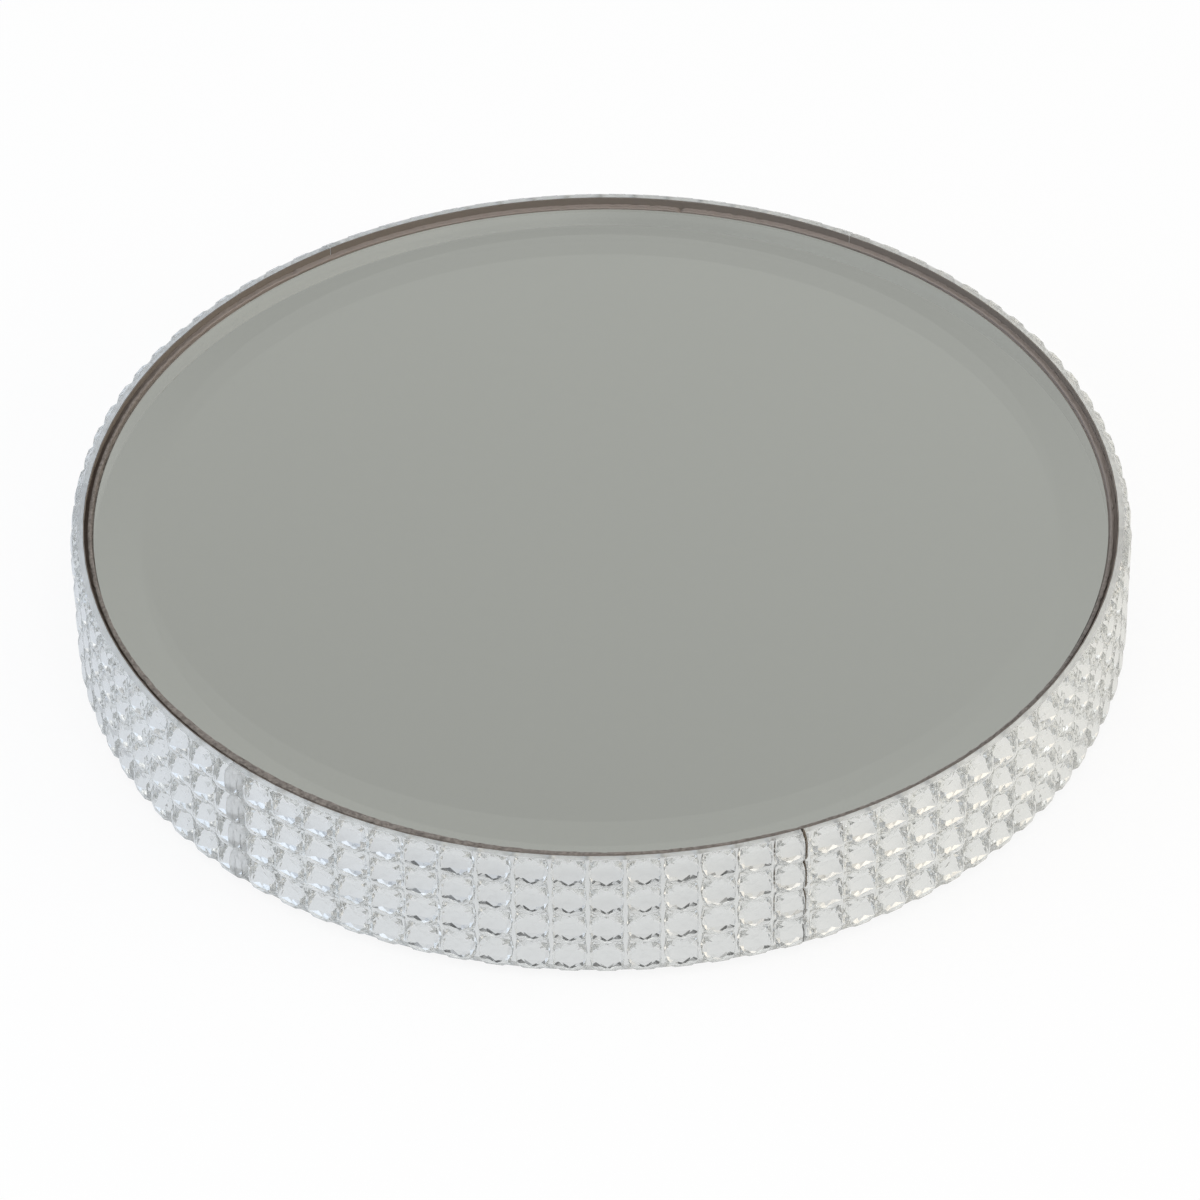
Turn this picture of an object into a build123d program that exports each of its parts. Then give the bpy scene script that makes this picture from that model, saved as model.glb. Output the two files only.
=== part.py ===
from build123d import *
import os
from math import cos, degrees, radians, sin, sqrt, tan

# Round mirrored candle plate: a bevelled mirror disc on a fibreboard core,
# with a clear moulded strip of faceted stones wrapped round the rim in lengths.
# Millimetres, +Z up, origin at the middle of the underside, front towards -Y.
# An azimuth of 0 is the front, and grows towards +X.

# Mirror disc
mirror_diameter = 143.4
glass_thickness = 4.0
bevel_width = 6.7
bevel_drop = 0.35
silvering_thickness = 0.1
mirror_recess = 1.25

# Double-sided pads that hold the mirror on the core
pad_count = 4
pad_side = 25.0
pad_thickness = 0.5
pad_edge_margin = 9.0
pad_turn = 45.0

# Stack from the mirror's edge outwards
mirror_clearance = 0.25
tape_thickness = 1.0
tape_drop = 0.3
tape_joint_gap = 0.4
tape_joint_azimuth = 170.0
foil_thickness = 0.15

# Stone strip
stone_rows = 4
stone_pitch = 5.0
web_thickness = 0.8
stone_height = 1.1
column_web = 0.45
row_web = 0.25
corner_draw = 0.15
girdle_bulge = 0.08
shoulder_inset = 0.4
shoulder_height = 0.8
shoulder_share = 0.6
table_inset = 1.3
table_corner_share = 0.75

# Lengths of strip: the azimuth where each begins, how much of its first column is left,
# and the width of the seam before it
strip_start_azimuths = [-43.1, 21.0, 85.0, 149.0, 213.0, 265.0]
first_column_shares = [0.52, 0.20, 0.55, 0.80, 0.35, 0.60]
seam_gaps = [0.1, 0.3, 0.1, 0.1, 0.1, 0.15]

# Felt under the core
felt_thickness = 1.2
felt_inset = 1.5

# Heights
strip_bottom = felt_thickness
strip_height = stone_rows * stone_pitch
strip_top = strip_bottom + strip_height
mirror_top = strip_top - mirror_recess
glass_bottom = mirror_top - glass_thickness
silvering_bottom = glass_bottom - silvering_thickness
core_top = silvering_bottom - pad_thickness
core_thickness = core_top - strip_bottom
tape_height = strip_height - tape_drop

# Radii
mirror_radius = mirror_diameter / 2
core_radius = mirror_radius + mirror_clearance
tape_radius = core_radius + tape_thickness
strip_inner = tape_radius + foil_thickness
web_outer = strip_inner + web_thickness
felt_radius = core_radius - felt_inset
stone_root = web_thickness / 2
wedge_reach = 2 * (web_outer + stone_height)

# Columns of stones: the strip is bent round its back, which keeps its moulded length
column_angle = degrees(stone_pitch / strip_inner)
half_column = radians(column_angle / 2)

up = (Align.CENTER, Align.CENTER, Align.MIN)


def disc(radius, thickness, bottom):
    return Pos(0, 0, bottom) * Cylinder(radius, thickness, align=up)


def mirror_glass():
    # Flat disc whose rim is ground down to a shallow sloping border
    edge_top = mirror_top - bevel_drop
    profile = Polyline(
        (0, glass_bottom),
        (mirror_radius, glass_bottom),
        (mirror_radius, edge_top),
        (mirror_radius - bevel_width, mirror_top),
        (0, mirror_top),
        close=True,
    )
    section = make_face(Plane.XZ * profile)
    return revolve(section, Axis.Z)


def mirror_pads():
    # Square pads on the diagonals, their outer corners kept inside the mirror's edge
    centre = mirror_radius - pad_edge_margin - pad_side / sqrt(2)
    pad = Pos(centre, 0, core_top) * Rot(0, 0, pad_turn) * Box(pad_side, pad_side, pad_thickness, align=up)
    return [Rot(0, 0, pad_turn + 360 * i / pad_count) * pad for i in range(pad_count)]


def rim_tape():
    # One turn of foam tape, with a narrow gap where its two ends meet
    ring = disc(tape_radius, tape_height, strip_bottom) - disc(core_radius, tape_height, strip_bottom)
    gap = Box(tape_joint_gap, tape_radius, tape_height, align=(Align.CENTER, Align.MAX, Align.MIN))
    return ring - Rot(0, 0, tape_joint_azimuth) * Pos(0, 0, strip_bottom) * gap


def panel(inner, thickness):
    # Flat slab one column wide at the front, its sides on the planes between columns
    outer = inner + thickness
    outline = Polyline(
        (-inner * tan(half_column), -inner),
        (-outer * tan(half_column), -outer),
        (outer * tan(half_column), -outer),
        (inner * tan(half_column), -inner),
        close=True,
    )
    return Pos(0, 0, strip_bottom) * extrude(make_face(outline), strip_height)


def eight_points(half_width, half_height, side_share, corner_share):
    # Four mid-side points and four corner points of a ring, as shares of its half width and half height
    corners = [(x * corner_share, z * corner_share) for x in (-1, 1) for z in (-1, 1)]
    mid_sides = [(-side_share, 0), (side_share, 0), (0, -side_share), (0, side_share)]
    return [(x * half_width, z * half_height) for x, z in corners + mid_sides]


def stone(middle):
    # Cushion-sided stone rooted in the web behind it: steep facets rise from the girdle
    # to a squarish shoulder, and flatter ones from there to a small table
    half_width = (stone_pitch - column_web) / 2
    half_height = (stone_pitch - row_web) / 2
    corner_share = 1 - corner_draw / half_width
    bulge_share = 1 + girdle_bulge / half_width
    girdle = eight_points(half_width, half_height, bulge_share, corner_share)
    shoulder_width = half_width - shoulder_inset
    shoulder_rise = half_height - shoulder_inset
    shoulder = [(x * shoulder_width, z * shoulder_rise * shoulder_share) for x in (-1, 1) for z in (-1, 1)]
    shoulder += [(x * shoulder_width * shoulder_share, z * shoulder_rise) for x in (-1, 1) for z in (-1, 1)]
    table = eight_points(half_width - table_inset, half_height - table_inset, 1, table_corner_share)
    rings = [
        (girdle, stone_root - web_outer),
        (girdle, -web_outer),
        (shoulder, -web_outer - shoulder_height),
        (table, -web_outer - stone_height),
    ]
    return ConvexPolyhedron([(x, depth, middle + z) for ring, depth in rings for x, z in ring])


def stone_column():
    middles = [strip_bottom + (row + 0.5) * stone_pitch for row in range(stone_rows)]
    return panel(strip_inner, web_thickness) + [stone(middle) for middle in middles]


def strip_span(index):
    # Azimuths of a strip's two ends, each half a seam gap short of the seam
    begin, end = (strip_start_azimuths + [strip_start_azimuths[0] + 360])[index:index + 2]
    before, after = (seam_gaps + seam_gaps[:1])[index:index + 2]
    return begin + degrees(before / 2 / web_outer), end - degrees(after / 2 / web_outer)


def lay_columns(column, index):
    # Copies of one column along a strip, with the two end columns cut at the seams
    begin, end = strip_span(index)
    azimuth = begin + (first_column_shares[index] - 0.5) * column_angle
    columns = []
    while azimuth - column_angle / 2 < end:
        columns.append(Rot(0, 0, azimuth) * column)
        azimuth += column_angle
    rays = [radians(a) for a in (begin, (begin + end) / 2, end)]
    corners = [(wedge_reach * sin(ray), -wedge_reach * cos(ray)) for ray in rays]
    wedge = extrude(make_face(Polyline((0, 0), *corners, close=True)), strip_top)
    return (columns[0] + columns[1:]) & wedge


parts = {
    "mirror_glass": mirror_glass(),
    "mirror_silvering": disc(mirror_radius, silvering_thickness, silvering_bottom),
    "mirror_pads": Compound(children=mirror_pads()),
    "core_board": disc(core_radius, core_thickness, strip_bottom),
    "rim_tape": rim_tape(),
    "base_felt": disc(felt_radius, felt_thickness, 0),
}

crystal_column = stone_column()
foil_column = panel(tape_radius, foil_thickness)
for index in range(len(strip_start_azimuths)):
    parts[f"crystal_strip_{index + 1}"] = lay_columns(crystal_column, index)
    parts[f"strip_foil_{index + 1}"] = lay_columns(foil_column, index)

os.makedirs("parts", exist_ok=True)
for name, shape in parts.items():
    export_step(shape, f"parts/{name}.step")
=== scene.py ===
from math import cos, pi, radians, sin, tan

import bmesh
import bpy
import numpy as np
from mathutils import Matrix, Vector


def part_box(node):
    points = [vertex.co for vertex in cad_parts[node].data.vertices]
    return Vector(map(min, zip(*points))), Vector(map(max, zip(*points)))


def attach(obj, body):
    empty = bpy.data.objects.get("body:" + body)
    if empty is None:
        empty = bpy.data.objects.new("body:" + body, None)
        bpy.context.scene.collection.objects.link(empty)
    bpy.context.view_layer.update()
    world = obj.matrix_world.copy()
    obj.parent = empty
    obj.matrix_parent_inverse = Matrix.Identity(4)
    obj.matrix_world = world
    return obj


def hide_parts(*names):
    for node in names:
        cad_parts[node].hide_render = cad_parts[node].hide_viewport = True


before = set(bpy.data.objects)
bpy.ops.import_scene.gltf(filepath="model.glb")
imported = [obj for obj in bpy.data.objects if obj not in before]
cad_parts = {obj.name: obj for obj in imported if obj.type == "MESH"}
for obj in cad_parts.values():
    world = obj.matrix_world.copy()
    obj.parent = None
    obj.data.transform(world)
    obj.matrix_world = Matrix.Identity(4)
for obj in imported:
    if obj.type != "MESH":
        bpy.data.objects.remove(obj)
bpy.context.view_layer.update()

scene = bpy.context.scene
mm = 0.001
mergeDistance = 0.002 * mm   # points closer than this are one point
print("frame loaded:", len(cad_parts), "nodes")

# Heights and radii read from the CAD pieces, in millimetres like every size of a piece below
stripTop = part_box("crystal_strip_1")[1].z / mm
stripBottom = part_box("crystal_strip_1")[0].z / mm
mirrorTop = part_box("mirror_glass")[1].z / mm
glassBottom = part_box("mirror_glass")[0].z / mm
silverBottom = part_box("mirror_silvering")[0].z / mm
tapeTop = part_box("rim_tape")[1].z / mm
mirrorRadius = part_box("mirror_glass")[1].x / mm
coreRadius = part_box("core_board")[1].x / mm
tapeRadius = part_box("rim_tape")[1].x / mm


def linearColour(hexCode):
    # sRGB to linear light: a straight line near black, a power of 2.4 above it
    srgb = np.array([int(hexCode[i:i + 2], 16) for i in (1, 3, 5)]) / 255
    linear = np.where(srgb <= 0.04045, srgb / 12.92, ((srgb + 0.055) / 1.055) ** 2.4)
    return (*linear.tolist(), 1.0)


def addNode(tree, kind, inputs=None, **settings):
    # One node with its settings; an input given as a socket is linked, anything else is its value
    node = tree.nodes.new(kind)
    for name, value in settings.items():
        setattr(node, name, value)
    for name, value in (inputs or {}).items():
        if isinstance(value, bpy.types.NodeSocket):
            tree.links.new(value, node.inputs[name])
        else:
            node.inputs[name].default_value = value
    return node


def newMaterial(name):
    # An empty material with its output node and the Object coordinates in millimetres
    material = bpy.data.materials.new(name)
    material.use_nodes = True
    tree = material.node_tree
    tree.nodes.clear()
    output = addNode(tree, "ShaderNodeOutputMaterial")
    place = addNode(tree, "ShaderNodeTexCoord").outputs["Object"]
    inMm = addNode(tree, "ShaderNodeVectorMath", {0: place, 1: (1 / mm,) * 3}, operation="MULTIPLY")
    return material, tree, output, inMm.outputs[0]


def addPiece(name, points, faces, slotName, node, *materials):
    # A mesh piece from points in millimetres and faces, riding on the plate in place of a CAD node
    mesh = bpy.data.meshes.new(name)
    mesh.from_pydata((np.asarray(points) * mm).tolist(), [], faces)
    mesh.update()
    piece = bpy.data.objects.new(name, mesh)
    scene.collection.objects.link(piece)
    for material in materials:
        mesh.materials.append(material)
    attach(piece, "root")
    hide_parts(node)
    return piece


def turned(profile, steps):
    # Rings of a turned surface. The profile is (radius, height) points, each one number or one per step;
    # a point of it goes round Z to make a ring, and neighbouring points make a band of quads
    turn = np.arange(steps) * 2 * pi / steps
    radius = np.stack([np.broadcast_to(r, steps) for r, z in profile])
    height = np.stack([np.broadcast_to(z, steps) for r, z in profile])
    points = np.stack([radius * np.sin(turn), -radius * np.cos(turn), height], -1)
    index = np.arange(len(profile) * steps).reshape(len(profile), steps)
    after = np.roll(index, -1, 1)
    quads = np.stack([index[:-1], after[:-1], after[1:], index[1:]], -1)
    return points.reshape(-1, 3), quads.reshape(-1, 4).tolist()


def closeUp(piece, sharpAngle):
    # Merged poles, outward faces, and smooth bands that stay sharp where the profile turns
    mesh = piece.data
    bm = bmesh.new()
    bm.from_mesh(mesh)
    bmesh.ops.remove_doubles(bm, verts=bm.verts, dist=mergeDistance)
    bmesh.ops.recalc_face_normals(bm, faces=bm.faces)
    for face in bm.faces:
        face.smooth = True
    openEdges = sum(edge.is_boundary for edge in bm.edges)
    bm.to_mesh(mesh)
    bm.free()
    mesh.set_sharp_from_angle(angle=radians(sharpAngle))
    print(piece.name, "faces", len(mesh.polygons), "open edges", openEdges)


# Strips of faceted stones

acrylic = {
    "tint": "#feffff",
    "ior": 1.49,
    "roughness": 0.06,
    "waveMm": 2.2,         # slow waviness of a moulded face
    "waveDepthMm": 0.010,
    "waveBump": 0.15,
    "edgeRoughness": 0.35,
}


def clearAcrylic():
    # Clear acrylic, injection moulded: glossy faces a little wavy, and edges that gather light
    material, tree, output, place = newMaterial("clearMouldedAcrylic")
    wave = addNode(tree, "ShaderNodeTexNoise", {"Vector": place, "Scale": 1 / acrylic["waveMm"], "Detail": 2.0})
    bump = addNode(tree, "ShaderNodeBump", {
        "Height": wave.outputs["Fac"], "Strength": acrylic["waveBump"], "Distance": acrylic["waveDepthMm"] * mm,
    })
    body = addNode(tree, "ShaderNodeBsdfPrincipled", {
        "Base Color": linearColour(acrylic["tint"]),
        "IOR": acrylic["ior"],
        "Roughness": acrylic["roughness"],
        "Transmission Weight": 1.0,
        "Normal": bump.outputs[0],
    })
    tree.links.new(body.outputs[0], output.inputs["Surface"])
    return material


def shearedEdge():
    # Acrylic where the strip was sheared or trimmed: the same clear body behind a finely frosted face
    material, tree, output, place = newMaterial("trimmedAcrylicEdge")
    body = addNode(tree, "ShaderNodeBsdfPrincipled", {
        "Base Color": linearColour(acrylic["tint"]),
        "IOR": acrylic["ior"],
        "Roughness": acrylic["edgeRoughness"],
        "Transmission Weight": 1.0,
    })
    tree.links.new(body.outputs[0], output.inputs["Surface"])
    return material


adhesiveAndGapShade = {
    "pale": "#b5a38c",
    "dark": "#86735d",
    "patchMm": 1.5,
    "fade": (10, 4),   # going down it fades out between these heights in mm
}


def brownAdhesiveAndGapShade():
    # Old contact adhesive on the end of the strip at one seam, together with painted shade of the open seam:
    # brown, dull and patchy in the open seam down to the lowest row, seen only from outside, while from inside the
    # acrylic the end is only frosted
    material, tree, output, place = newMaterial("brownAdhesiveAndPaintedGapShade")
    patch = addNode(tree, "ShaderNodeTexNoise", {"Vector": place, "Scale": 1 / adhesiveAndGapShade["patchMm"], "Detail": 3.0})
    colour = addNode(tree, "ShaderNodeMix", {
        "Factor": patch.outputs["Fac"], 6: linearColour(adhesiveAndGapShade["dark"]), 7: linearColour(adhesiveAndGapShade["pale"]),
    }, data_type="RGBA")
    height = addNode(tree, "ShaderNodeSeparateXYZ", {0: place}).outputs["Z"]
    clean = addNode(tree, "ShaderNodeMapRange", {
        "Value": height, "From Min": adhesiveAndGapShade["fade"][0], "From Max": adhesiveAndGapShade["fade"][1],
    })
    # Painted shade of the open seam: the brown shows only from outside, and it fades out downwards where the seam
    # closes
    inside = addNode(tree, "ShaderNodeNewGeometry").outputs["Backfacing"]
    clear = addNode(tree, "ShaderNodeMath", {0: clean.outputs[0], 1: inside}, operation="MAXIMUM")
    shown = addNode(tree, "ShaderNodeMix", {
        "Factor": clear.outputs[0], 6: colour.outputs[2], 7: linearColour(acrylic["tint"]),
    }, data_type="RGBA")
    body = addNode(tree, "ShaderNodeBsdfPrincipled", {
        "Base Color": shown.outputs[2],
        "IOR": acrylic["ior"],
        "Roughness": acrylic["edgeRoughness"],
        "Transmission Weight": clear.outputs[0],
    })
    tree.links.new(body.outputs[0], output.inputs["Surface"])
    return material


foil = {
    "thickness": 0.15,
    "silver": "#fdfdfc",
    "lacquer": "#7f776f",
    "roughness": 0.05,
    "crinkleMm": 5.0,
    "crinkleDepthMm": 0.05,
    "crinkleBump": 0.4,
    "coatMm": 0.03,        # what lies no deeper than this under the strip's back is silver
}


def silverFoil():
    # Silver foil with lacquer on its back: bright and slightly crinkled outside, brown inside and on its edges
    material, tree, output, place = newMaterial("silverFoilBrownLacquer")
    flat = addNode(tree, "ShaderNodeVectorMath", {0: place, 1: (1, 1, 0)}, operation="MULTIPLY")
    radius = addNode(tree, "ShaderNodeVectorMath", {0: flat.outputs[0]}, operation="LENGTH")
    outside = addNode(tree, "ShaderNodeMath", {0: radius.outputs["Value"], 1: strip["inner"] - foil["coatMm"]},
                      operation="GREATER_THAN")
    crinkle = addNode(tree, "ShaderNodeTexNoise", {"Vector": place, "Scale": 1 / foil["crinkleMm"], "Detail": 1.0})
    bump = addNode(tree, "ShaderNodeBump", {
        "Height": crinkle.outputs["Fac"], "Strength": foil["crinkleBump"], "Distance": foil["crinkleDepthMm"] * mm,
    })
    colour = addNode(tree, "ShaderNodeMix", {
        "Factor": outside.outputs[0], 6: linearColour(foil["lacquer"]), 7: linearColour(foil["silver"]),
    }, data_type="RGBA")
    body = addNode(tree, "ShaderNodeBsdfPrincipled", {
        "Base Color": colour.outputs[2],
        "Metallic": outside.outputs[0],
        "Roughness": foil["roughness"],
        "Normal": bump.outputs[0],
    })
    tree.links.new(body.outputs[0], output.inputs["Surface"])
    return material


strip = {
    "starts": [-43.1, 21.0, 85.0, 149.0, 213.0, 265.0],   # azimuth in degrees where each length begins
    "firstShares": [0.52, 0.20, 0.55, 0.80, 0.35, 0.60],  # what is left of its first column
    "topGaps": [0.08, 0.42, 0.10, 0.10, 0.10, 0.15],      # seam's width at the top; it closes towards the foot
    "footGap": 0.03,
    "rows": 4,
    "pitch": 5.0,
    "inner": tapeRadius + foil["thickness"],              # radius of the strip's flat back
    "webThickness": 0.8,
    "sunk": 0.05,        # the back lies this deep in the foil, so that the two are in contact
    "darkenedSeam": 1,    # the length whose first end is brown, with adhesive and painted shade of the open seam
    "snap": 0.0001,      # a point this close to a seam's cut counts as on it
}
stone = {
    "columnWeb": 0.45,
    "rowWeb": 0.25,
    "height": 1.10,
    "shoulderInset": 0.40,
    "shoulderHeight": 0.80,
    "shoulderSquare": 0.60,
    "tableInset": 1.30,
    "tableCorner": 0.75,
    "girdleBulge": 0.08,
    "cornerDraw": 0.15,
    "lean": 0.018,       # how far a table leans, in mm of height per mm across
    "drift": 0.025,      # how far a table lies off its stone's middle
    "seed": 7,
}
webOuter = strip["inner"] + strip["webThickness"]
columnAngle = strip["pitch"] / strip["inner"]
rowPitch = (stripTop - stripBottom) / strip["rows"]


def stoneCell():
    # One stone in its cell, as points (across, up, out) and faces. Four rings of 8 points lie inside each other:
    # the cell's rectangle, a cushion girdle on the web, a squarish shoulder and a table above it;
    # quads join the first two, and each later gap holds 16 triangles
    half = np.array([strip["pitch"] - stone["columnWeb"], rowPitch - stone["rowWeb"]]) / 2
    around = np.arange(8)
    after = np.roll(around, -1)
    turn = around * pi / 4
    sides = np.round(np.stack([np.cos(turn), np.sin(turn)], -1))   # signs of the 4 mid-sides and 4 corners
    middle = (around % 2 == 0)[:, None]
    edge = sides * [webOuter * tan(columnAngle / 2), rowPitch / 2]
    girdle = sides * (half + np.where(middle, stone["girdleBulge"], -stone["cornerDraw"]))
    between = (sides + sides[after]) / 2
    shoulder = np.where(np.abs(between) == 1, between, np.sign(between) * stone["shoulderSquare"])
    shoulder = shoulder * (half - stone["shoulderInset"])
    table = sides * (half - stone["tableInset"]) * np.where(middle, 1.0, stone["tableCorner"])
    rings = [(edge, 0), (girdle, 0), (shoulder, stone["shoulderHeight"]), (table, stone["height"])]
    points = np.concatenate([np.column_stack([ring, np.full(len(ring), out)]) for ring, out in rings])
    first = np.arange(len(rings))[:, None] * len(around)
    edgeAt, girdleAt, shoulderAt, tableAt = first + around
    edgeNext, girdleNext, shoulderNext, tableNext = first + after
    faces = np.stack([edgeAt, edgeNext, girdleNext, girdleAt], -1).tolist()
    faces += np.stack([girdleAt, girdleNext, shoulderAt], -1).tolist()
    faces += np.stack([girdleNext, shoulderNext, shoulderAt], -1).tolist()
    faces += np.stack([shoulderAt, tableNext, tableAt], -1).tolist()
    faces += np.stack([shoulderAt, shoulderNext, tableNext], -1).tolist()
    faces.append(tableAt.tolist())
    return points, faces


def stripAzimuths(index):
    # The two seams of a length of strip and its columns' azimuths, in radians
    begin, end = np.radians((strip["starts"] + [strip["starts"][0] + 360])[index:index + 2])
    first = begin + (strip["firstShares"][index] - 0.5) * columnAngle
    count = int(np.ceil((end - first) / columnAngle + 0.5))
    return begin, end, first + np.arange(count) * columnAngle


def onPlate(azimuth, across, out, height):
    # Local (across, out, height) to the plate: out is along the column's radius, across along its tangent
    x = out * np.sin(azimuth) + across * np.cos(azimuth)
    y = -out * np.cos(azimuth) + across * np.sin(azimuth)
    return np.stack([x, y, np.broadcast_to(height, x.shape)], -1)


def cutAtSeam(bm, azimuth, topGap, side, slotIndex):
    # Cuts on a leaning plane, so that the seam is open at the top and all but closed at the foot. The side is -1
    # where a length begins and 1 where it ends
    tangent = Vector((cos(azimuth), sin(azimuth), 0)) * side
    opening = (topGap - strip["footGap"]) / 2 / (stripTop - stripBottom)
    normal = (tangent + Vector((0, 0, opening))).normalized()
    foot = Vector((0, 0, stripBottom * mm)) - tangent * strip["footGap"] / 2 * mm
    snap = strip["snap"] * mm
    geometry = bm.verts[:] + bm.edges[:] + bm.faces[:]
    bmesh.ops.bisect_plane(bm, geom=geometry, dist=snap, plane_co=foot, plane_no=normal, clear_outer=True)
    rim = [edge for edge in bm.edges if edge.is_boundary and
           all(abs((vert.co - foot).dot(normal)) < 10 * snap for vert in edge.verts)]
    for face in bmesh.ops.holes_fill(bm, edges=rim, sides=0)["faces"]:
        face.material_index = slotIndex


def makeStrip(index, cellPoints, cellFaces, random):
    # Every column and row holds the same cell with its table leaning and drifting its own way; a back panel
    # and top and bottom edges close the strip, and both ends are cut at the seams
    begin, end, azimuths = stripAzimuths(index)
    columns = len(azimuths)
    rows = strip["rows"]
    middles = stripBottom + (np.arange(rows) + 0.5) * rowPitch
    shape = (columns, rows, len(cellPoints))
    lean = random.normal(0, stone["lean"], (2, columns, rows, 1))
    drift = random.normal(0, stone["drift"], (2, columns, rows, 1))
    across, up, out = np.broadcast_to(cellPoints.T[:, None, None], (3, *shape))
    onTable = out == stone["height"]
    slope = onTable * (lean[0] * across + lean[1] * up)
    out = out + slope - onTable * slope.max(-1, keepdims=True)
    across = across + onTable * drift[0]
    up = up + onTable * drift[1]
    points = onPlate(azimuths[:, None, None], across, webOuter + out, middles[None, :, None] + up).reshape(-1, 3)
    cells = np.arange(columns * rows) * len(cellPoints)
    faces = [[i + cell for i in face] for cell in cells for face in cellFaces]

    # Back panels and the strip's top and bottom edges, one of each for a column. Points 1 to 3 of a cell run along
    # its top, and 5 to 7 along its foot
    inner = strip["inner"] - strip["sunk"]
    halfBack = inner * tan(columnAngle / 2)
    corners = np.array([(-1, stripBottom), (1, stripBottom), (1, stripTop), (-1, stripTop)])
    back = onPlate(azimuths[:, None], corners[:, 0] * halfBack, inner, corners[:, 1])
    firstBack = len(points)
    firstEdge = len(faces)
    points = np.concatenate([points, back.reshape(-1, 3)])
    for column in range(columns):
        b = firstBack + 4 * column
        low = column * rows * len(cellPoints)
        high = low + (rows - 1) * len(cellPoints)
        faces.append([b + 1, b, b + 3, b + 2])
        faces.append([high + 1, high + 2, high + 3, b + 3, b + 2])
        faces.append([low + 5, low + 6, low + 7, b + 1, b])

    node = f"crystal_strip_{index + 1}"
    piece = addPiece("stoneStrip" + str(index + 1), points, faces, "clear_acrylic", node, *stripFinishes)
    past = np.arange(len(faces)) - firstEdge
    onEdge = (past >= 0) & (past % 3 > 0)   # of each three the first is a back panel
    piece.data.polygons.foreach_set("material_index", onEdge.astype(np.int32))
    trimmed, darkened = 1, 2                 # places in stripFinishes
    gaps = strip["topGaps"] + strip["topGaps"][:1]
    bm = bmesh.new()
    bm.from_mesh(piece.data)
    bmesh.ops.remove_doubles(bm, verts=bm.verts, dist=mergeDistance)
    cutAtSeam(bm, begin, gaps[index], -1, darkened if index == strip["darkenedSeam"] else trimmed)
    cutAtSeam(bm, end, gaps[index + 1], 1, trimmed)
    bmesh.ops.recalc_face_normals(bm, faces=bm.faces)
    openEdges = sum(edge.is_boundary for edge in bm.edges)
    bm.to_mesh(piece.data)
    bm.free()
    print(piece.name, "columns", columns, "faces", len(piece.data.polygons), "open edges", openEdges)


stripFinishes = [clearAcrylic(), shearedEdge(), brownAdhesiveAndGapShade()]
foilFinish = silverFoil()
cellPoints, cellFaces = stoneCell()
random = np.random.default_rng(stone["seed"])
for index in range(len(strip["starts"])):
    makeStrip(index, cellPoints, cellFaces, random)
    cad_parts[f"strip_foil_{index + 1}"].data.materials[0] = foilFinish
print("strips made")

# Mirror disc

glass = {
    "tint": "#fbfcfa",
    "ior": 1.52,
}


def floatGlass():
    # Polished float glass: clear and sharp, no more than a breath of green
    material, tree, output, place = newMaterial("polishedFloatGlass")
    body = addNode(tree, "ShaderNodeBsdfPrincipled", {
        "Base Color": linearColour(glass["tint"]),
        "IOR": glass["ior"],
        "Roughness": 0.0,
        "Transmission Weight": 1.0,
    })
    tree.links.new(body.outputs[0], output.inputs["Surface"])
    return material


silver = {
    "reflect": "#eeefe9",
    "haze": 0.02,
    "cloudMm": 30.0,
}


def mirrorSilver():
    # Chemically silvered back of the glass: an even, sharp mirror with the slightest clouding
    material, tree, output, place = newMaterial("mirrorSilvering")
    cloud = addNode(tree, "ShaderNodeTexNoise", {"Vector": place, "Scale": 1 / silver["cloudMm"], "Detail": 2.0})
    haze = addNode(tree, "ShaderNodeMapRange",
                   {"Value": cloud.outputs["Fac"], "To Min": 0.0, "To Max": silver["haze"]})
    body = addNode(tree, "ShaderNodeBsdfPrincipled", {
        "Base Color": linearColour(silver["reflect"]),
        "Metallic": 1.0,
        "Roughness": haze.outputs[0],
    })
    tree.links.new(body.outputs[0], output.inputs["Surface"])
    return material


mirror = {
    "bevelWidth": 6.7,
    "bevelDrop": 0.35,
    "backRise": 0.40,     # it lies this much higher at the back, on uneven adhesive
    "steps": 288,
    "sharpAngle": 2,      # the bevel's edge stays sharp, and the rim is smooth
    "silverSunk": 0.02,   # the silvering's face lies this deep in the glass, so that the two are in contact
    "silverLip": 0.03,    # and its paint comes this far past the glass's edge
}


def makeMirror():
    # Turned profiles: the glass falls away over the bevel, and the silvering is a thin disc on its back. Heights
    # grow evenly from front to back by the rise, apart from the foot of the silvering's paint
    r = mirrorRadius
    edgeTop = mirrorTop - mirror["bevelDrop"]
    flat = r - mirror["bevelWidth"]
    profile = [(0, glassBottom), (r, glassBottom), (r, edgeTop), (flat, mirrorTop), (0, mirrorTop)]
    points, faces = turned(profile, mirror["steps"])
    points[:, 2] += mirror["backRise"] * (points[:, 1] + r) / (2 * r)
    piece = addPiece("bevelledGlass", points, faces, "mirror_glass", "mirror_glass", floatGlass())
    closeUp(piece, mirror["sharpAngle"])
    top = glassBottom + mirror["silverSunk"]
    lip = r + mirror["silverLip"]
    points, faces = turned([(0, silverBottom), (lip, silverBottom), (lip, top), (0, top)], mirror["steps"])
    points[:, 2] += mirror["backRise"] * (points[:, 1] + r) / (2 * r) * (points[:, 2] > silverBottom)
    piece = addPiece("silveredBack", points, faces, "silvering", "mirror_silvering", mirrorSilver())
    closeUp(piece, mirror["sharpAngle"])


makeMirror()
print("mirror made")

# Foam tape round the core and the mirror's edge

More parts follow.
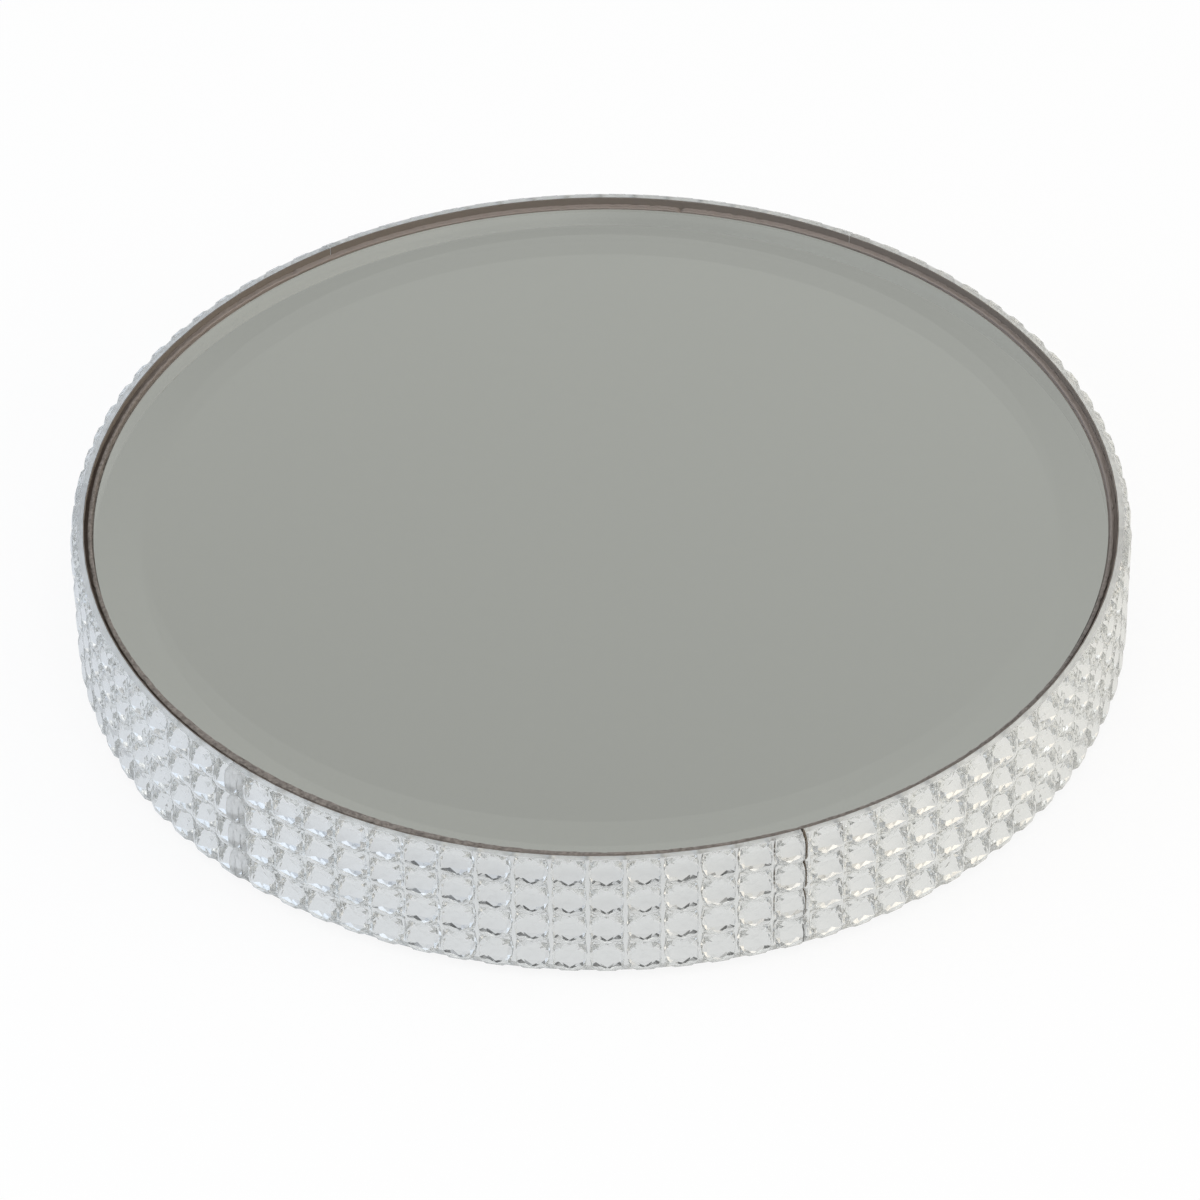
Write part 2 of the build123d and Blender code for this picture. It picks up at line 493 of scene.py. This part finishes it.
tape = {
    "pale": "#928b85",
    "dark": "#58524d",
    # painted shade: the dark colour of the groove beside the strip, at the front
    "grooveShade": "#40352d",
    "litPale": "#8c827b",      # painted light: the cut is painted this paler tone at the back
    "litPaleFrom": (-10, 30),  # it turns to that between these depths in mm
    "litPaleSideways": 0.3,    # and sooner on the right, by this much for each mm
    "roughness": 0.9,
    "fibreMm": 0.5,         # coarser than real cells, so that it shows
    "fibreRange": (0.3, 0.7),
    "fibreBump": 0.8,
    "fibreDepthMm": 0.15,
    "steps": 1080,
    "sharpAngle": 40,
    "ridgeWidth": 0.5,      # the inner lip that stands up; outside it the cut top is torn down into a groove
    "ridgeBlend": 0.1,      # the painted groove shade fades in over this far each way
    "grooveDepth": 0.45,
    "grooveLean": 0.05,
    "lipReach": 0.55,       # how far the lip is squeezed in over the glass at the front left
    "lipAzimuth": -36,
    "lipLobe": 26,          # half width of that in degrees
    "browBack": 0.04,       # the lip's inner edge is rounded by this much
    "drop": {"shoulder": 0.12, "brow": 0.06, "nose": 0.25, "hollow": 0.44, "ledge": 0.45},   # below the lip's top
    "rimGap": 0.08,         # the ledge under the lip lies this far below the glass's rim
    "pressGap": 0.04,       # and from there it is pressed up to the glass, this close, over this height
    "pressHeight": 1.0,
    "pressSlope": 0.04,     # how far the wall slopes in to that, and out again
    "pressTaper": 0.2,
    "sunkAzimuth": 65,      # along the right the lip lies lower
    "sunkDepth": 0.45,
    "sunkLobe": 45,
    "backDrop": 0.80,       # at the back the cut lies lower and level, with no groove
    "backLobe": 75,
    "jointAzimuth": 170,    # the two ends of the tape meet here
    "jointWidth": 0.32,
    "uneven": {"inner": (0.04, 160), "outer": (0.05, 200), "top": (0.05, 220), "floor": (0.03, 150)},   # mm, waves
    "seed": 11,
}


def foamTape():
    # Grey-brown foam tape, knife cut: a torn fibrous lip, and a groove beside the strip darkened with painted
    # shade. Towards the back both are painted paler and more even, as painted light
    material, tree, output, place = newMaterial("cutFoamTape")
    fibre = addNode(tree, "ShaderNodeTexNoise",
                    {"Vector": place, "Scale": 1 / tape["fibreMm"], "Detail": 4.0, "Roughness": 0.65})
    flat = addNode(tree, "ShaderNodeVectorMath", {0: place, 1: (1, 1, 0)}, operation="MULTIPLY")
    radius = addNode(tree, "ShaderNodeVectorMath", {0: flat.outputs[0]}, operation="LENGTH")
    ridge = coreRadius + tape["ridgeWidth"]
    outer = addNode(tree, "ShaderNodeMapRange", {
        "Value": radius.outputs["Value"],
        "From Min": ridge - tape["ridgeBlend"], "From Max": ridge + tape["ridgeBlend"],
    })
    stretch = addNode(tree, "ShaderNodeMapRange", {
        "Value": fibre.outputs["Fac"], "From Min": tape["fibreRange"][0], "From Max": tape["fibreRange"][1],
    })
    part = addNode(tree, "ShaderNodeSeparateXYZ", {0: place}).outputs
    depth = addNode(tree, "ShaderNodeMath", {0: part["X"], 1: tape["litPaleSideways"], 2: part["Y"]},
                    operation="MULTIPLY_ADD")
    front = addNode(tree, "ShaderNodeMapRange", {
        "Value": depth.outputs[0], "From Min": tape["litPaleFrom"][0], "From Max": tape["litPaleFrom"][1],
        "To Min": 1.0, "To Max": 0.0,
    })
    # Painted shade in the groove beside the strip, at the front only
    grooveShade = addNode(tree, "ShaderNodeMath", {0: outer.outputs[0], 1: front.outputs[0]}, operation="MULTIPLY")
    torn = addNode(tree, "ShaderNodeMix", {
        "Factor": stretch.outputs[0], 6: linearColour(tape["dark"]), 7: linearColour(tape["pale"]),
    }, data_type="RGBA")
    # Painted light: the lip turns paler towards the back and the right
    lip = addNode(tree, "ShaderNodeMix", {
        "Factor": front.outputs[0], 6: linearColour(tape["litPale"]), 7: torn.outputs[2],
    }, data_type="RGBA")
    colour = addNode(tree, "ShaderNodeMix", {
        "Factor": grooveShade.outputs[0], 6: lip.outputs[2], 7: linearColour(tape["grooveShade"]),
    }, data_type="RGBA")
    bump = addNode(tree, "ShaderNodeBump", {
        "Height": fibre.outputs["Fac"], "Strength": tape["fibreBump"], "Distance": tape["fibreDepthMm"] * mm,
    })
    body = addNode(tree, "ShaderNodeBsdfPrincipled", {
        "Base Color": colour.outputs[2],
        "Roughness": tape["roughness"],
        "Normal": bump.outputs[0],
    })
    tree.links.new(body.outputs[0], output.inputs["Surface"])
    return material


def ringNoise(random, count, spread, waves):
    # Uneven values round a ring: white noise whose harmonics fade on a bell curve that many waves wide, scaled to
    # a spread in mm
    spectrum = np.fft.rfft(random.normal(size=count))
    wave = np.arange(len(spectrum))
    spectrum = spectrum * np.exp(-0.5 * (wave / waves) ** 2) * (wave > 0)
    noise = np.fft.irfft(spectrum, count)
    return spread * (noise / noise.std())


def lobeAt(azimuth, middle, halfWidth):
    # A bell curve in azimuth, 1 at its middle
    away = (azimuth - middle + 180) % 360 - 180
    return np.exp(-(away / halfWidth) ** 2)


def makeTape():
    # A turned profile whose radii and heights change round the ring: outer wall, groove, lip, the wall pressed to
    # the glass and the foot
    random = np.random.default_rng(tape["seed"])
    uneven = tape["uneven"]
    drop = tape["drop"]
    steps = tape["steps"]
    azimuth = np.arange(steps) * 360 / steps
    reach = tape["lipReach"] * lobeAt(azimuth, tape["lipAzimuth"], tape["lipLobe"])
    sink = tape["sunkDepth"] * lobeAt(azimuth, tape["sunkAzimuth"], tape["sunkLobe"])
    joint = tape["grooveDepth"] * lobeAt(azimuth, tape["jointAzimuth"], tape["jointWidth"])
    back = lobeAt(azimuth, 180, tape["backLobe"])
    inner = coreRadius - reach - np.abs(ringNoise(random, steps, *uneven["inner"]))
    outer = coreRadius + tape["ridgeWidth"] + ringNoise(random, steps, *uneven["outer"])
    top = tapeTop - tape["backDrop"] * back - sink - joint - np.abs(ringNoise(random, steps, *uneven["top"]))
    floor = top - tape["grooveDepth"] * (1 - back) - np.abs(ringNoise(random, steps, *uneven["floor"]))
    rim = mirrorTop - mirror["bevelDrop"] + mirror["backRise"] * (1 - np.cos(np.radians(azimuth))) / 2
    ledge = np.minimum(rim - tape["rimGap"], top - drop["ledge"])
    press = mirrorRadius + tape["pressGap"]
    pressFoot = ledge - tape["pressHeight"]
    profile = [
        (tapeRadius, stripBottom), (tapeRadius, floor), (outer + tape["grooveLean"], floor),
        (outer, top - drop["shoulder"]), ((inner + outer) / 2, top),
        (inner + tape["browBack"], top - drop["brow"]), (inner, top - drop["nose"]),
        (coreRadius, top - drop["hollow"]), (coreRadius, ledge),
        (press, ledge - tape["pressSlope"]), (press, pressFoot), (coreRadius, pressFoot - tape["pressTaper"]),
        (coreRadius, stripBottom), (tapeRadius, stripBottom),
    ]
    points, faces = turned(profile, steps)
    piece = addPiece("cutTapeRing", points, faces, "foam_tape", "rim_tape", foamTape())
    closeUp(piece, tape["sharpAngle"])


makeTape()
print("tape made")

# Core, pads and felt keep their CAD shapes

board = {
    "pale": "#b08d64",
    "dark": "#7b5c3c",
    "roughness": 0.85,
    "fibreMm": 0.8,       # coarser than real fibres, so that it shows
    "fibreBump": 0.4,
    "fibreDepthMm": 0.1,
}


def fibreboard():
    # Raw fibreboard: matt tan, mottled with short darker fibres
    material, tree, output, place = newMaterial("rawFibreboard")
    fibre = addNode(tree, "ShaderNodeTexNoise",
                    {"Vector": place, "Scale": 1 / board["fibreMm"], "Detail": 5.0, "Roughness": 0.7})
    colour = addNode(tree, "ShaderNodeMix", {
        "Factor": fibre.outputs["Fac"], 6: linearColour(board["dark"]), 7: linearColour(board["pale"]),
    }, data_type="RGBA")
    bump = addNode(tree, "ShaderNodeBump", {
        "Height": fibre.outputs["Fac"], "Strength": board["fibreBump"], "Distance": board["fibreDepthMm"] * mm,
    })
    body = addNode(tree, "ShaderNodeBsdfPrincipled", {
        "Base Color": colour.outputs[2],
        "Roughness": board["roughness"],
        "Normal": bump.outputs[0],
    })
    tree.links.new(body.outputs[0], output.inputs["Surface"])
    return material


pad = {
    "pale": "#e4e3de",
    "dark": "#c9c7c0",
    "roughness": 0.9,
    "cellMm": 0.4,
}


def whiteFoam():
    # White foam tape: matt, with fine open cells
    material, tree, output, place = newMaterial("whiteFoamPad")
    cells = addNode(tree, "ShaderNodeTexVoronoi", {"Vector": place, "Scale": 1 / pad["cellMm"]})
    colour = addNode(tree, "ShaderNodeMix", {
        "Factor": cells.outputs["Distance"], 6: linearColour(pad["dark"]), 7: linearColour(pad["pale"]),
    }, data_type="RGBA")
    body = addNode(tree, "ShaderNodeBsdfPrincipled", {
        "Base Color": colour.outputs[2],
        "Roughness": pad["roughness"],
    })
    tree.links.new(body.outputs[0], output.inputs["Surface"])
    return material


felt = {
    "pale": "#3a3a3c",
    "dark": "#141416",
    "fibreMm": 0.7,       # coarser than real wool, so that it shows
    "fibreBump": 0.9,
    "fibreDepthMm": 0.25,
    "clumpMm": 4.0,
    "clumpRange": (0.12, 0.42),
    "sheen": 0.3,
    "sheenRoughness": 0.6,
}


def blackFelt():
    # Pressed wool felt, black: a soft mat of fibres in clumps, with a little sheen from the loose ends
    material, tree, output, place = newMaterial("blackFelt")
    fibre = addNode(tree, "ShaderNodeTexNoise", {
        "Vector": place, "Scale": 1 / felt["fibreMm"], "Detail": 6.0, "Roughness": 0.75, "Distortion": 1.5,
    })
    clump = addNode(tree, "ShaderNodeTexNoise", {"Vector": place, "Scale": 1 / felt["clumpMm"], "Detail": 2.0})
    mixed = addNode(tree, "ShaderNodeMath", {0: fibre.outputs["Fac"], 1: clump.outputs["Fac"]},
                    operation="MULTIPLY")
    reach = addNode(tree, "ShaderNodeMapRange", {
        "Value": mixed.outputs[0], "From Min": felt["clumpRange"][0], "From Max": felt["clumpRange"][1],
    })
    colour = addNode(tree, "ShaderNodeMix", {
        "Factor": reach.outputs[0], 6: linearColour(felt["dark"]), 7: linearColour(felt["pale"]),
    }, data_type="RGBA")
    bump = addNode(tree, "ShaderNodeBump", {
        "Height": fibre.outputs["Fac"], "Strength": felt["fibreBump"], "Distance": felt["fibreDepthMm"] * mm,
    })
    body = addNode(tree, "ShaderNodeBsdfPrincipled", {
        "Base Color": colour.outputs[2],
        "Roughness": 1.0,
        "Sheen Weight": felt["sheen"],
        "Sheen Roughness": felt["sheenRoughness"],
        "Normal": bump.outputs[0],
    })
    tree.links.new(body.outputs[0], output.inputs["Surface"])
    return material


for node, finish in (("core_board", fibreboard), ("mirror_pads", whiteFoam), ("base_felt", blackFelt)):
    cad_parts[node].data.materials[0] = finish()
print("core, pads and felt finished")

# Floor, light and camera

studio = {
    "white": "#ffffff",
    "floorColour": "#f2f2f2",
    "floorSize": 4.0,
    "cameraWhite": 0.9,      # share of plain white in what the camera sees of the floor
    "glossWhite": 0.90,      # and of these tints of painted light, cool at the left and warm at the right, in what gloss and glass see of it
    "floorCool": "#cfd8e6",
    "floorWarm": "#eee9dd",
    "tintReach": 0.20,       # the tints are full this far out, in metres
    # Where the floor dulls for gloss and glass, between these distances in front, and to what share: first close
    # to the plate, a painted shadow from the camera's side, and then at the end of the white sheet
    "floorFalls": [(0.062, 0.095, 0.83), (0.30, 0.42, 0.15)],
    "horizon": 1.0,
    "fall": 0.82,            # how fast the walls darken upwards
    "sideways": 0.027,       # how much lighter they are right of the middle, and darker left of it
    "sidewaysReach": 0.15,   # that is full this far out, on the unit sphere
    "cool": "#e3eefc",       # the walls' tints, left and right
    "warm": "#fff7ea",
    "plain": "#f2f3f3",      # and the tint of their upper part
    "dark": 0.03,            # level of the unlit room low behind the camera
    # Each light is a level times smooth steps from one value to another: in degrees of azimuth off the front, in
    # degrees away from it on either side, or in height on the unit sphere. The plain and dark ones are shares
    "lights": {
        "plain": (1.0, [("height", 0.45, 0.56)]),
        "dark": (1.0, [("azimuth", -38, -30), ("azimuth", 26, 18), ("height", 0.24, 0.16)]),
        "ceiling": (0.75, [("height", 0.76, 0.88)]),
        "flanks": (0.28, [("away", 24, 38), ("away", 140, 110), ("height", 0.55, 0.40)]),
        "softbox": (0.5, [("height", 0.73, 0.80), ("height", 0.95, 0.85), ("away", 100, 60)]),
        "dullFront": (-0.04, [("height", 0.50, 0.57), ("height", 0.72, 0.66), ("away", 150, 125)]),
        "dullBack": (-0.18, [("height", 0.60, 0.54), ("away", 100, 140)]),
    },
    "bounces": 24,           # light goes to and fro many times between the facets and the foil
    "glossyBounces": 16,
}


def makeFloor():
    # A pale floor that the camera sees as near white, with the plate's shadow kept. Gloss and glass see it tinted
    # with painted light, and duller in two steps in front of the plate: a painted shadow close to it, then the
    # white sheet's end
    half = studio["floorSize"] / 2
    mesh = bpy.data.meshes.new("floor")
    mesh.from_pydata([(-half, -half, 0), (half, -half, 0), (half, half, 0), (-half, half, 0)], [], [(0, 1, 2, 3)])
    floor = bpy.data.objects.new("floor", mesh)
    scene.collection.objects.link(floor)
    material, tree, output, place = newMaterial("paleFloor")
    path = addNode(tree, "ShaderNodeLightPath").outputs
    gloss = addNode(tree, "ShaderNodeMath", {0: path["Is Glossy Ray"], 1: path["Is Transmission Ray"]},
                    operation="MAXIMUM")
    glossShare = addNode(tree, "ShaderNodeMath", {0: gloss.outputs[0], 1: studio["glossWhite"]},
                         operation="MULTIPLY")
    cameraShare = addNode(tree, "ShaderNodeMath", {0: path["Is Camera Ray"], 1: studio["cameraWhite"]},
                          operation="MULTIPLY")
    share = addNode(tree, "ShaderNodeMath", {0: glossShare.outputs[0], 1: cameraShare.outputs[0]},
                    operation="MAXIMUM")
    matt = addNode(tree, "ShaderNodeBsdfDiffuse", {"Color": linearColour(studio["floorColour"])})
    part = addNode(tree, "ShaderNodeSeparateXYZ", {0: place}).outputs
    reach = studio["tintReach"] / mm
    # Painted light: as gloss and glass see it, the floor is tinted cool at the left and warm at the right
    across = addNode(tree, "ShaderNodeMapRange", {"Value": part["X"], "From Min": -reach, "From Max": reach})
    tint = addNode(tree, "ShaderNodeMix", {
        "Factor": across.outputs[0], 6: linearColour(studio["floorCool"]), 7: linearColour(studio["floorWarm"]),
    }, data_type="RGBA")
    colour = addNode(tree, "ShaderNodeMix", {
        "Factor": gloss.outputs[0], 6: linearColour(studio["white"]), 7: tint.outputs[2],
    }, data_type="RGBA")
    # Painted shadow close in front of the plate, then the white sheet's end
    lit = 1.0
    for near, far, dull in studio["floorFalls"]:
        fall = addNode(tree, "ShaderNodeMapRange", {
            "Value": part["Y"], "From Min": -far / mm, "From Max": -near / mm, "To Min": dull,
        })
        lit = addNode(tree, "ShaderNodeMath", {0: lit, 1: fall.outputs[0]}, operation="MULTIPLY").outputs[0]
    seen = addNode(tree, "ShaderNodeMix", {"Factor": gloss.outputs[0], 2: 1.0, 3: lit}, data_type="FLOAT")
    white = addNode(tree, "ShaderNodeEmission", {"Color": colour.outputs[2], "Strength": seen.outputs[0]})
    mix = addNode(tree, "ShaderNodeMixShader", {0: share.outputs[0], 1: matt.outputs[0], 2: white.outputs[0]})
    tree.links.new(mix.outputs[0], output.inputs["Surface"])
    mesh.materials.append(material)


def makeWorld():
    # Studio walls, white for the camera. For other rays the level falls evenly with height and rises a little from
    # left to right across the middle, the lights are added to it, and the dark stretch takes its place. The tint
    # goes from cool at the left to warm at the right, and is plain higher up
    world = bpy.data.worlds.new("studio")
    scene.world = world
    world.use_nodes = True
    tree = world.node_tree
    tree.nodes.clear()
    output = addNode(tree, "ShaderNodeOutputWorld")
    direction = addNode(tree, "ShaderNodeTexCoord").outputs["Generated"]
    part = addNode(tree, "ShaderNodeSeparateXYZ", {0: direction}).outputs

    towards = addNode(tree, "ShaderNodeMath", {0: part["Y"], 1: -1.0}, operation="MULTIPLY").outputs[0]
    azimuth = addNode(tree, "ShaderNodeMath", {0: part["X"], 1: towards}, operation="ARCTAN2").outputs[0]
    away = addNode(tree, "ShaderNodeMath", {0: azimuth}, operation="ABSOLUTE").outputs[0]
    sources = {"azimuth": (azimuth, radians(1)), "away": (away, radians(1)), "height": (part["Z"], 1)}
    light = {}
    for name, (full, steps) in studio["lights"].items():
        light[name] = full
        for value, start, end in steps:
            source, unit = sources[value]
            step = addNode(tree, "ShaderNodeMapRange", {
                "Value": source, "From Min": start * unit, "From Max": end * unit,
            }, interpolation_type="SMOOTHSTEP").outputs[0]
            light[name] = addNode(tree, "ShaderNodeMath", {0: light[name], 1: step},
                                  operation="MULTIPLY").outputs[0]
    level = addNode(tree, "ShaderNodeMath", {0: part["Z"], 1: -studio["fall"], 2: studio["horizon"]},
                    operation="MULTIPLY_ADD").outputs[0]
    reach = studio["sidewaysReach"]
    lean = addNode(tree, "ShaderNodeMapRange", {
        "Value": part["X"], "From Min": -reach, "From Max": reach,
        "To Min": -studio["sideways"], "To Max": studio["sideways"],
    }).outputs[0]
    level = addNode(tree, "ShaderNodeMath", {0: level, 1: lean}, operation="ADD").outputs[0]
    for name in ("ceiling", "flanks", "softbox", "dullFront", "dullBack"):
        level = addNode(tree, "ShaderNodeMath", {0: level, 1: light[name]}, operation="ADD").outputs[0]
    walls = addNode(tree, "ShaderNodeMix", {"Factor": light["dark"], 2: level, 3: studio["dark"]},
                    data_type="FLOAT")
    across = addNode(tree, "ShaderNodeMapRange", {"Value": part["X"], "From Min": -1.0, "From Max": 1.0})
    side = addNode(tree, "ShaderNodeMix", {
        "Factor": across.outputs[0], 6: linearColour(studio["cool"]), 7: linearColour(studio["warm"]),
    }, data_type="RGBA")
    hue = addNode(tree, "ShaderNodeMix", {
        "Factor": light["plain"], 6: side.outputs[2], 7: linearColour(studio["plain"]),
    }, data_type="RGBA")
    seen = addNode(tree, "ShaderNodeLightPath").outputs["Is Camera Ray"]
    strength = addNode(tree, "ShaderNodeMix", {"Factor": seen, 2: walls.outputs[0], 3: 1.0}, data_type="FLOAT")
    colour = addNode(tree, "ShaderNodeMix", {
        "Factor": seen, 6: hue.outputs[2], 7: linearColour(studio["white"]),
    }, data_type="RGBA")
    wall = addNode(tree, "ShaderNodeBackground", {"Color": colour.outputs[2], "Strength": strength.outputs[0]})
    tree.links.new(wall.outputs[0], output.inputs["Surface"])


lamps = {
    "left": {"azimuth": -75, "elevation": 28, "distance": 0.9, "size": 0.5, "power": 2.4, "colour": "#e4eeff"},
    "right": {"azimuth": 70, "elevation": 28, "distance": 0.9, "size": 0.5, "power": 2.4, "colour": "#fff4e6"},
    "top": {"azimuth": 0, "elevation": 82, "distance": 1.0, "size": 0.6, "power": 1.6, "colour": "#ffffff"},
}


def makeLamps():
    # Softboxes on a sphere round the plate, each facing its middle; mirror and stones see only the walls
    for name, box in lamps.items():
        data = bpy.data.lights.new(name, "AREA")
        data.size = box["size"]
        data.energy = box["power"]
        data.color = linearColour(box["colour"])[:3]
        lamp = bpy.data.objects.new(name, data)
        scene.collection.objects.link(lamp)
        a = radians(box["azimuth"])
        e = radians(box["elevation"])
        spot = Vector((sin(a) * cos(e), -cos(a) * cos(e), sin(e))) * box["distance"]
        lamp.visible_glossy = False
        lamp.visible_transmission = False
        lamp.location = spot
        lamp.rotation_euler = spot.to_track_quat("Z", "Y").to_euler()


view = {
    "elevation": 40.25,
    "distance": 880.2,
    "roll": -0.73,
    "target": (-0.25, -5.70),    # how far the aim lies right of and above the rim's middle
    "focalPixels": 6179,
    "framePixels": 1200,
    "sensorMm": 36,
}


def makeCamera():
    # Pinhole camera in front of the plate, looking down on the middle of its rim
    e = radians(view["elevation"])
    roll = radians(view["roll"])
    ahead = Vector((0, cos(e), -sin(e)))
    right = Vector((1, 0, 0))
    upward = right.cross(ahead)
    middle = Vector((0, 0, (stripTop + stripBottom) / 2))
    aim = middle + right * view["target"][0] + upward * view["target"][1]
    x = right * cos(roll) + upward * sin(roll)
    y = upward * cos(roll) - right * sin(roll)
    data = bpy.data.cameras.new("camera")
    data.sensor_width = view["sensorMm"]
    data.lens = view["focalPixels"] / view["framePixels"] * view["sensorMm"]
    camera = bpy.data.objects.new("camera", data)
    scene.collection.objects.link(camera)
    turn = Matrix((x, y, -ahead)).transposed().to_4x4()
    camera.matrix_world = Matrix.Translation((aim - ahead * view["distance"]) * mm) @ turn
    scene.camera = camera


makeFloor()
makeWorld()
makeLamps()
makeCamera()
scene.view_settings.view_transform = "Standard"
scene.cycles.max_bounces = studio["bounces"]
scene.cycles.glossy_bounces = studio["glossyBounces"]
scene.cycles.transmission_bounces = studio["bounces"]
print("studio ready")
